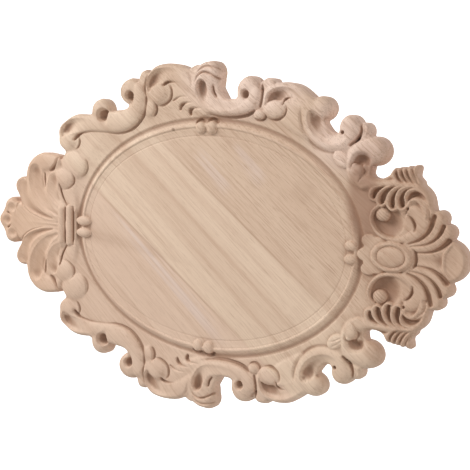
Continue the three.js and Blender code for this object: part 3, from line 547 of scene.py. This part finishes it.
def cabochon():
    """The ball and the ring round it, by the share of the way out to the ring's edge."""
    patch, r, _ = turned((121.6, 0), (12, 8.4))
    shares = (0, 0.3, 0.45, 0.56, 0.62, 0.655, 0.69, 0.75, 0.81, 0.87, 0.93, 0.975, 1)
    falls = (0, 0.3, 0.7, 1.2, 1.7, 2.9, 2.1, 1.3, 1.1, 1.3, 2, 3.2, 4.4)
    raise_to(patch, CABOCHON_TOP - np.interp(r, shares, falls), (1 - r) * 10)


cabochon()
LAST_SANDING = 0.2
smooth(LAST_SANDING)

# The whole map. Its edges hold how far each point is inside the outline, near the outline only
NEAR = 2
heights = both_ways(height)
edges = np.clip(both_ways(edge), -NEAR, NEAR)
map_x, map_y = np.meshgrid(grid_x, np.concatenate([-grid_y[:0:-1], grid_y]))

# The outline without its small steps; a point that this takes in gets the height of those beside it
OUTLINE_REACH = 0.5
BESIDE_REACH = 0.6
edges = blurred(edges, OUTLINE_REACH)
there = (heights > 0).astype(float)
beside = blurred(heights * there, BESIDE_REACH) / np.maximum(blurred(there, BESIDE_REACH), 1e-6)
heights = np.where((edges > 0) & (heights < 0), beside, heights)

# The sanded edge along the outline; the open share is 1 on a straight edge and more on a corner
EDGE_REACH = 1.4
EDGE_DROP = 4
MOST_OPEN = 1.2
open_share = np.clip(2 * (1 - blurred((edges > 0).astype(float), EDGE_REACH)), 0, MOST_OPEN)
heights = np.where(edges > 0, np.maximum(heights - EDGE_DROP * open_share ** 2, LOWEST), heights)


def surface():
    """The carved face: whole cells inside the outline, and cells cut where the outline crosses them."""
    rows, columns = heights.shape
    count = rows * columns
    inside = edges > 0
    points = [np.c_[map_x.ravel(), map_y.ravel(), heights.ravel()]]
    level = np.where(inside, heights, np.nan)

    def crossing(a, b):
        """New points where the outline crosses between a and b, with the face's slope carried on to them."""
        share = edges[a] / (edges[a] - edges[b])
        x = map_x[a] + share * (map_x[b] - map_x[a])
        y = map_y[a] + share * (map_y[b] - map_y[a])
        first = inside[a]
        inner = [np.where(first, p, q) for p, q in zip(a, b)]
        outer = [np.where(first, q, p) for p, q in zip(a, b)]
        beyond = tuple(2 * p - q for p, q in zip(inner, outer))
        inner = tuple(inner)
        slope = np.where(inside[beyond], np.minimum(heights[inner] - heights[beyond], 0), 0)
        z = heights[inner] + slope * np.where(first, share, 1 - share)
        return np.c_[x, y, np.maximum(z, LOWEST)]

    across = np.full((rows, columns - 1), -1)
    r, c = np.nonzero(inside[:, 1:] != inside[:, :-1])
    across[r, c] = count + np.arange(len(r))
    points.append(crossing((r, c), (r, c + 1)))
    upward = np.full((rows - 1, columns), -1)
    first = count + len(r)
    r, c = np.nonzero(inside[1:] != inside[:-1])
    upward[r, c] = first + np.arange(len(r))
    points.append(crossing((r, c), (r + 1, c)))
    number = np.arange(count).reshape(rows, columns)
    corner = [number[:-1, :-1], number[:-1, 1:], number[1:, 1:], number[1:, :-1]]
    sides = [across[:-1], upward[:, 1:], across[1:], upward[:, :-1]]
    flags = [inside[:-1, :-1], inside[:-1, 1:], inside[1:, 1:], inside[1:, :-1]]
    case = sum(flag.astype(int) << i for i, flag in enumerate(flags))

    # Each kind of cell has other corners inside; opposite corners alone make two faces
    faces = []
    rims = []
    for kind in range(1, 16):
        here = np.nonzero(case == kind)
        if not len(here[0]):
            continue
        on = [bool(kind >> i & 1) for i in range(4)]
        if kind in (5, 10):
            starts = [i for i in range(4) if on[i]]
            rings = [[corner[i], sides[i], sides[(i + 3) % 4]] for i in starts]
            cuts = [(sides[i], sides[(i + 3) % 4]) for i in starts]
        else:
            ring = []
            cuts = []
            leave = back = None
            for i in range(4):
                if on[i]:
                    ring.append(corner[i])
                if on[i] != on[(i + 1) % 4]:
                    ring.append(sides[i])
                    if on[i]:
                        leave = sides[i]
                    else:
                        back = sides[i]
            rings = [ring]
            if leave is not None:
                cuts = [(leave, back)]
        for ring in rings:
            faces.append(np.stack([ids[here] for ids in ring], axis=1))
        for a, b in cuts:
            rims.append(np.stack([a[here], b[here]], axis=1))
    return np.vstack(points), faces, np.vstack(rims)


def board_mesh():
    """The closed mesh of the board, in metres, and the numbers of its points that aren't on the walls."""
    points, faces, rims = surface()
    used = np.zeros(len(points), bool)
    for block in faces:
        used[block.ravel()] = True
    rim_points = np.unique(rims.ravel())
    renumber = np.cumsum(used) - 1
    kept = points[used]
    under = np.full(len(points), -1)
    under[rim_points] = used.sum() + np.arange(len(rim_points))
    foot = points[rim_points].copy()
    foot[:, 2] = 0
    spots = np.vstack([kept, foot])
    place = np.c_[spots[:, 0] * PER_X, -spots[:, 2], spots[:, 1] * PER_Z] / 1000
    polygons = [renumber[block].tolist() for block in faces]
    flat = [face for block in polygons for face in block]
    for a, b in rims:
        flat.append([int(renumber[b]), int(renumber[a]), int(under[a]), int(under[b])])
    follow = {int(a): int(b) for a, b in rims}
    loops = []
    while follow:
        start, step = follow.popitem()
        loop = [start]
        while step != start:
            loop.append(step)
            step = follow.pop(step)
        loops.append(loop)
    for loop in loops:
        flat.append([int(under[i]) for i in loop])
    mesh = bpy.data.meshes.new("carved_board")
    mesh.from_pydata(place.tolist(), [], flat)
    mesh.update()
    walls = np.concatenate([renumber[rim_points], under[rim_points]])
    return mesh, sorted(set(range(len(spots))) - set(walls.tolist()))


# Thinning moves these points alone, so the outline stays sharp
carved_mesh, carved_points = board_mesh()
board = bpy.data.objects.new("carved_board", carved_mesh)
bpy.context.scene.collection.objects.link(board)
board.vertex_groups.new(name="carved").add(carved_points, 1.0, "REPLACE")
print("faces before thinning", len(board.data.polygons))


def apply_modifiers(piece):
    """Makes the mesh what its modifiers show, and takes them off."""
    graph = bpy.context.evaluated_depsgraph_get()
    mesh = bpy.data.meshes.new_from_object(piece.evaluated_get(graph))
    piece.modifiers.clear()
    piece.data = mesh


def thin(piece, triangles):
    """Brings the mesh under its count of triangles, keeping its form."""
    now = sum(len(face.vertices) - 2 for face in piece.data.polygons)
    if now <= triangles:
        return
    modifier = piece.modifiers.new("thin", "DECIMATE")
    modifier.ratio = triangles / now
    modifier.use_collapse_triangulate = True
    modifier.vertex_group = "carved"
    apply_modifiers(piece)


def weigh_normals(piece):
    """Lets the large flat faces set the shading where they meet small ones."""
    modifier = piece.modifiers.new("weigh", "WEIGHTED_NORMAL")
    modifier.mode = "FACE_AREA"
    modifier.weight = 50
    modifier.keep_sharp = True
    apply_modifiers(piece)


# Painted shade: a hollow is painted darker by how deep it lies below what is around it, in millimetres: each
# distance and its share. It fades towards the open edge
RECESS_DEPTH = 2.4
RECESS_SHARES = ((0.9, 0.5), (2, 0.5), (4.5, 0.45), (10, 0.2))
RECESS_FADE = 1.6
MOST_RECESS = 1.5


def shade_recesses(piece):
    """Keeps at each corner how far the carving lies below what is around it, 0 to 1: the painted shade's
    depth.
    """
    within = (edges > 0).astype(float)
    known = np.where(edges > 0, heights, 0)
    depth = np.zeros(heights.shape)
    for reach, share in RECESS_SHARES:
        around = blurred(known, reach) / np.maximum(blurred(within, reach), 1e-6)
        depth += share * np.clip((around - heights) / RECESS_DEPTH, 0, MOST_RECESS)
    depth = np.where(edges > 0, depth, 0) * np.clip(1 - RECESS_FADE * open_share, 0, 1)
    count = len(piece.data.vertices)
    spots = np.empty(count * 3)
    piece.data.vertices.foreach_get("co", spots)
    spots = spots.reshape(-1, 3) * 1000
    column = np.clip((spots[:, 0] / PER_X - grid_x[0]) / CELL, 0, depth.shape[1] - 1).round().astype(int)
    row = np.clip(spots[:, 2] / PER_Z / CELL + ROWS - 1, 0, depth.shape[0] - 1).round().astype(int)
    kept = piece.data.attributes.new("recess_shade", "FLOAT", "POINT")
    kept.data.foreach_set("value", np.clip(depth[row, column], 0, 1))


MOST_TRIANGLES = 190000
SHARP_ANGLE = math.radians(80)
thin(board, MOST_TRIANGLES)
board.data.shade_smooth()
board.data.set_sharp_from_angle(angle=SHARP_ANGLE)
weigh_normals(board)
shade_recesses(board)
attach(board, "root")
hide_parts("applique")
print("triangles", sum(len(face.vertices) - 2 for face in board.data.polygons))


class Nodes:
    """Short calls for the nodes of one material."""

    def __init__(self, name):
        self.material = bpy.data.materials.new(name)
        self.material.use_nodes = True
        self.tree = self.material.node_tree
        self.shader = self.tree.nodes["Principled BSDF"]

    def add(self, kind, inputs=None, **settings):
        node = self.tree.nodes.new(kind)
        for key, value in settings.items():
            setattr(node, key, value)
        for key, value in (inputs or {}).items():
            self.put(node.inputs[key], value)
        return node

    def put(self, socket, value):
        if isinstance(value, bpy.types.NodeSocket):
            self.tree.links.new(value, socket)
        else:
            socket.default_value = value

    def math(self, operation, a, b=0.0):
        return self.add("ShaderNodeMath", {0: a, 1: b}, operation=operation).outputs[0]

    def plus(self, a, b):
        return self.math("ADD", a, b)

    def times(self, a, b):
        return self.math("MULTIPLY", a, b)

    def mix(self, factor, a, b):
        node = self.add("ShaderNodeMix", data_type="RGBA")
        for index, value in ((0, factor), (6, a), (7, b)):
            self.put(node.inputs[index], value)
        return node.outputs[2]

    def noise(self, vector, scale, detail, rough=0.5):
        inputs = {"Vector": vector, "Scale": scale, "Detail": detail, "Roughness": rough}
        return self.add("ShaderNodeTexNoise", inputs).outputs[0]

    def ramp(self, value, start, end):
        """Nought where the value is at the start and one where it is at the end, with soft turns between."""
        inputs = {0: value, 1: start, 2: end, 3: 0.0, 4: 1.0}
        return self.add("ShaderNodeMapRange", inputs, interpolation_type="SMOOTHSTEP").outputs[0]


def colour(red, green, blue):
    """A colour given as it shows on a screen, 0 to 255, made linear for the shader."""
    def linear(value):
        share = value / 255
        return share / 12.92 if share <= 0.04045 else ((share + 0.055) / 1.055) ** 2.4
    return (linear(red), linear(green), linear(blue), 1.0)


# The wood's colours
PALE = colour(220, 195, 171)
FAIR = colour(210, 183, 159)
ROSY = colour(208, 176, 156)
BROWN = colour(198, 168, 144)
GLUE = colour(172, 138, 114)
STREAK = colour(217, 196, 184)
PINKISH_AND_LIT = colour(230, 204, 188)
BAND = colour(186, 152, 128)
FINE_LINE = colour(176, 142, 118)
PORE = colour(150, 114, 90)
MARK = colour(140, 104, 82)
FAN_END = colour(204, 162, 128)
SHELL_END_WOOD_AND_SHADE = colour(170, 132, 108)
GROUND_SHADE = colour(150, 112, 90)
KNOT = colour(186, 156, 132)
FLAW = colour(110, 78, 58)
WALL_SHADE = colour(186, 146, 124)
HOLLOW_SHADE = colour(138, 100, 76)

# The grain's direction, and its noises: scale along the grain and across it, detail and roughness
GRAIN = math.radians(-39)
BROAD_NOISE = (2.2, 42, 5.0, 0.55)
BAND_NOISE = (3, 150, 3.0, 0.5)
FINE_NOISE = (12, 520, 3.0, 0.6)
PORE_NOISE = (70, 1900, 2.0, 0.5)

# Lines across the board, each through two points of the map: where planks are glued, and where pale streaks
# run, with half the streak's width in millimetres and its strength
LOWER_GLUE = ((-84, 22), (30, -60))
UPPER_GLUE = ((-36, 59), (81, -31))
STREAKS = (((-72, 10), (12, -60), 8, 0.7), ((-6, 52), (16, 29), 9, 0.5), ((20, 56), (40, 35), 9, 0.5))

# Places on the map, each a middle and a reach
FIELD = ((0, 0), (112, 76))
PINKISH_LIT_SCROLLS = (((28, 94), (54, 28)), ((97, 64), (34, 28)))
SHADED_GROUND_PLACE = ((104, 30), (12.5, 31))
KNOT_PLACE = ((67, 31), (9, 9))
FLAW_PLACE = ((-24.5, 65.2), (1.7, 1.3))
VOLUTE_BALLS = (((115.5, 21.9), (5, 5)), ((115.5, -21.9), (5, 5)))

# In metres: half the width over which one plank gives way to the next, half a glue line, how near its middle
# a line has its full strength, how far a streak wanders, how far apart the cutter's lines are, and how high
# the fine relief stands
PLANK_STEP = 0.0006
GLUE_HALF = 0.0016
FULL_STRENGTH = 0.0002
STREAK_WANDER = 0.03
MARK_SPACING = 0.0021
RELIEF = 0.0003


def wood():
    nodes = Nodes("carved_wood")
    place = nodes.add("ShaderNodeTexCoord").outputs["Object"]
    x, y, z = nodes.add("ShaderNodeSeparateXYZ", {0: place}).outputs
    run = nodes.plus(nodes.times(x, math.cos(GRAIN)), nodes.times(z, math.sin(GRAIN)))
    over = nodes.plus(nodes.times(x, -math.sin(GRAIN)), nodes.times(z, math.cos(GRAIN)))

    def grain_noise(along, across, detail, rough):
        axes = {0: nodes.times(run, along), 1: nodes.times(over, across), 2: nodes.times(y, across)}
        return nodes.noise(nodes.add("ShaderNodeCombineXYZ", axes).outputs[0], 1.0, detail, rough)

    def past(a, b):
        """How far a point is past the line through a and b, towards the upper right, in metres."""
        ax, az, bx, bz = (value * per / 1000 for value, per in zip(a + b, (PER_X, PER_Z, PER_X, PER_Z)))
        length = math.hypot(bx - ax, bz - az)
        nx, nz = (az - bz) / length, (bx - ax) / length
        there = nodes.plus(nodes.times(x, nx), nodes.times(z, nz))
        return nodes.math("SUBTRACT", there, ax * nx + az * nz)

    def spot(at, reach):
        """One at a place on the carved side, nought beyond an ellipse round it and at the back."""
        dx = nodes.math("DIVIDE", nodes.math("SUBTRACT", x, at[0] * PER_X / 1000), reach[0] * PER_X / 1000)
        dz = nodes.math("DIVIDE", nodes.math("SUBTRACT", z, at[1] * PER_Z / 1000), reach[1] * PER_Z / 1000)
        far = nodes.plus(nodes.times(dx, dx), nodes.times(dz, dz))
        return nodes.times(nodes.ramp(far, 1.0, 0.15), nodes.ramp(y, -0.001, -0.003))

    def either(places):
        """One at either of two places."""
        first, second = (spot(*each) for each in places)
        return nodes.math("MAXIMUM", first, second)

    def tinted(base, where, strength, tint):
        """The base with a tint over it, at the given strength where the mask is one."""
        return nodes.mix(nodes.times(where, strength), base, tint)

    broad = grain_noise(*BROAD_NOISE)
    bands = grain_noise(*BAND_NOISE)
    fine = grain_noise(*FINE_NOISE)
    pores = grain_noise(*PORE_NOISE)
    lower = past(*LOWER_GLUE)
    upper = past(*UPPER_GLUE)
    field = spot(*FIELD)

    # The planks: pinkish at the lower left, pale in the middle, browner at the upper right, where the brown
    # # deepens gradually outward, partly painted shade where the light falls off
    base = nodes.mix(nodes.ramp(broad, 0.32, 0.68), PALE, FAIR)
    base = tinted(base, nodes.ramp(lower, PLANK_STEP, -PLANK_STEP), 0.4, ROSY)
    browner_and_shaded = nodes.plus(nodes.times(nodes.ramp(upper, -PLANK_STEP, PLANK_STEP), 0.5),
                         nodes.times(nodes.ramp(upper, 0.0, 0.05), 0.5))
    base = tinted(base, browner_and_shaded, 0.46, BROWN)
    for line in (lower, upper):
        near = nodes.ramp(nodes.math("ABSOLUTE", line), GLUE_HALF, FULL_STRENGTH)
        base = tinted(base, nodes.times(near, field), 0.5, GLUE)
    for a, b, reach, amount in STREAKS:
        wander = nodes.times(nodes.math("SUBTRACT", bands, 0.5), STREAK_WANDER)
        off = nodes.math("ABSOLUTE", nodes.plus(past(a, b), wander))
        middle = ((a[0] + b[0]) / 2, (a[1] + b[1]) / 2)
        half = 0.6 * math.hypot(b[0] - a[0], b[1] - a[1])
        near = nodes.times(nodes.ramp(off, reach / 1000, FULL_STRENGTH), spot(middle, (half, half)))
        base = tinted(base, near, amount, STREAK)

    # Paler pinkish wood in the scrolls at the upper right, partly painted light that brightens them
    base = tinted(base, either(PINKISH_LIT_SCROLLS), 0.75, PINKISH_AND_LIT)

    # Darker bands and fine pores along the grain, more of them in the browner plank
    base = tinted(base, nodes.ramp(bands, 0.5, 0.72), 0.34, BAND)
    amount = nodes.plus(nodes.times(browner_and_shaded, 0.22), 0.26)
    base = tinted(base, nodes.ramp(fine, 0.48, 0.68), amount, FINE_LINE)
    base = tinted(base, nodes.ramp(pores, 0.55, 0.7), amount, PORE)

    # How far the surface faces the front, and how steep it is
    normal = nodes.add("ShaderNodeNewGeometry").outputs["Normal"]
    facing = nodes.add("ShaderNodeSeparateXYZ", {0: normal}).outputs[1]
    steep = nodes.ramp(nodes.math("ABSOLUTE", facing), 0.6, 0.1)
    forward = nodes.math("SUBTRACT", 1.0, steep)

    # Fine lines left by the cutter, in patches, clearest on the ball of the volute
    marks = nodes.math("SINE", nodes.times(over, 2 * math.pi / MARK_SPACING))
    patchy = nodes.ramp(nodes.noise(place, 38, 2.0), 0.48, 0.62)
    patchy = nodes.times(patchy, nodes.ramp(x, -0.02, 0.06))
    amount = nodes.plus(nodes.times(patchy, 0.11), nodes.times(either(VOLUTE_BALLS), 0.3))
    amount = nodes.times(amount, forward)
    base = tinted(base, nodes.ramp(marks, -0.2, 0.9), amount, MARK)

    # Browner wood towards the fan end; darker towards the shell end, partly the wood and partly painted shade
    # where
    # # the light falls off; painted shade on the ground beside the shell; a knot in the field and a flaw in
    # the ring
    base = tinted(base, nodes.ramp(x, -0.150, -0.220), 0.3, FAN_END)
    # Partly darker wood, partly painted shade where the light falls off towards the shell end
    base = tinted(base, nodes.ramp(x, 0.130, 0.185), 0.34, SHELL_END_WOOD_AND_SHADE)
    # Painted shade on the low ground beside the shell, under the high relief around it
    base = tinted(base, spot(*SHADED_GROUND_PLACE), 0.7, GROUND_SHADE)
    base = tinted(base, spot(*KNOT_PLACE), 0.3, KNOT)
    base = tinted(base, spot(*FLAW_PLACE), 0.6, FLAW)

    # Painted shade: steep walls are tinted darker and redder by how far they turn from the front, and hollows
    # darker
    base = tinted(base, steep, 0.3, WALL_SHADE)
    # Painted shade in the hollows, darker the deeper they lie below what is around them
    recess_shade = nodes.add("ShaderNodeAttribute", attribute_name="recess_shade").outputs["Fac"]
    base = tinted(base, nodes.ramp(recess_shade, 0.02, 0.85), 0.72, HOLLOW_SHADE)
    nodes.put(nodes.shader.inputs["Base Color"], base)
    nodes.shader.inputs["Roughness"].default_value = 0.62
    nodes.shader.inputs["Specular IOR Level"].default_value = 0.3

    # The cutter's lines and the open pores can be felt a little
    relief = nodes.plus(nodes.times(nodes.plus(fine, pores), forward), nodes.times(marks, amount))
    bump = nodes.add("ShaderNodeBump", {"Strength": 0.35, "Distance": RELIEF, "Height": relief})
    nodes.put(nodes.shader.inputs["Normal"], bump.outputs[0])
    return nodes.material


board.data.materials.clear()
board.data.materials.append(wood())

# A plain white wall behind the piece, bright enough to show as white, and a plain pale floor below it
WALL = 1.6
FLOOR = -1.3
ROOM = 4
WALL_GLOW = 0.85


def plain_paint(name, shade):
    """A dull material of one colour."""
    paint = Nodes(name)
    paint.shader.inputs["Base Color"].default_value = (*shade, 1)
    paint.shader.inputs["Roughness"].default_value = 0.9
    return paint


def staged_sheet(name, corners, material):
    """A flat sheet of the room, which isn't part of the piece."""
    plane = bpy.data.meshes.new(name)
    plane.from_pydata(corners, [], [(0, 1, 2, 3)])
    plane.materials.append(material)
    sheet = bpy.data.objects.new(name, plane)
    bpy.context.scene.collection.objects.link(sheet)


paper = plain_paint("white_paper", (0.92, 0.92, 0.92))
paper.shader.inputs["Emission Color"].default_value = (1, 1, 1, 1)
paper.shader.inputs["Emission Strength"].default_value = WALL_GLOW
staged_sheet("wall", [(-ROOM, WALL, FLOOR), (ROOM, WALL, FLOOR), (ROOM, WALL, ROOM), (-ROOM, WALL, ROOM)],
             paper.material)
pale = plain_paint("pale_floor", (0.76, 0.76, 0.75))
staged_sheet("floor", [(-ROOM, -ROOM, FLOOR), (ROOM, -ROOM, FLOOR), (ROOM, WALL, FLOOR),
                       (-ROOM, WALL, FLOOR)], pale.material)

# The camera stands to the right of the piece and looks across it; its focal length is in the picture's pixels
PICTURE_WIDTH = 470
FOCAL_LENGTH = 827.34
SENSOR = 36
CAMERA_AT = (0.42357, -0.59719, 0.08326)
CAMERA_TURN = (83.7119, -1.1225, 33.7947)
camera_data = bpy.data.cameras.new("camera")
camera_data.sensor_width = SENSOR
camera_data.sensor_height = SENSOR
camera_data.sensor_fit = "HORIZONTAL"
camera_data.lens = FOCAL_LENGTH / PICTURE_WIDTH * SENSOR
camera = bpy.data.objects.new("camera", camera_data)
camera.location = CAMERA_AT
camera.rotation_euler = [math.radians(angle) for angle in CAMERA_TURN]
bpy.context.scene.collection.objects.link(camera)
bpy.context.scene.camera = camera


def soft_light(name, at, size, power, tint=(1, 1, 1)):
    """A square lamp that aims at the middle of the piece."""
    data = bpy.data.lights.new(name, "AREA")
    data.shape = "SQUARE"
    data.size = size
    data.energy = power
    data.color = tint
    lamp = bpy.data.objects.new(name, data)
    bpy.context.scene.collection.objects.link(lamp)
    lamp.location = at
    lamp.rotation_euler = (-Vector(at)).to_track_quat("-Z", "Y").to_euler()


soft_light("key", at=(-1.15, -0.95, 0.9), size=0.8, power=26.8)
soft_light("fill", at=(0.5, -1.8, 0.3), size=1.6, power=8.3)
soft_light("side", at=(1.7, -0.7, 0.5), size=0.9, power=9.2, tint=(1, 0.93, 0.9))
WORLD_LIGHT = 0.2
world = bpy.data.worlds.new("studio")
world.use_nodes = True
background = world.node_tree.nodes["Background"]
background.inputs["Color"].default_value = (1, 1, 1, 1)
background.inputs["Strength"].default_value = WORLD_LIGHT
bpy.context.scene.world = world
bpy.context.scene.view_settings.view_transform = "Standard"
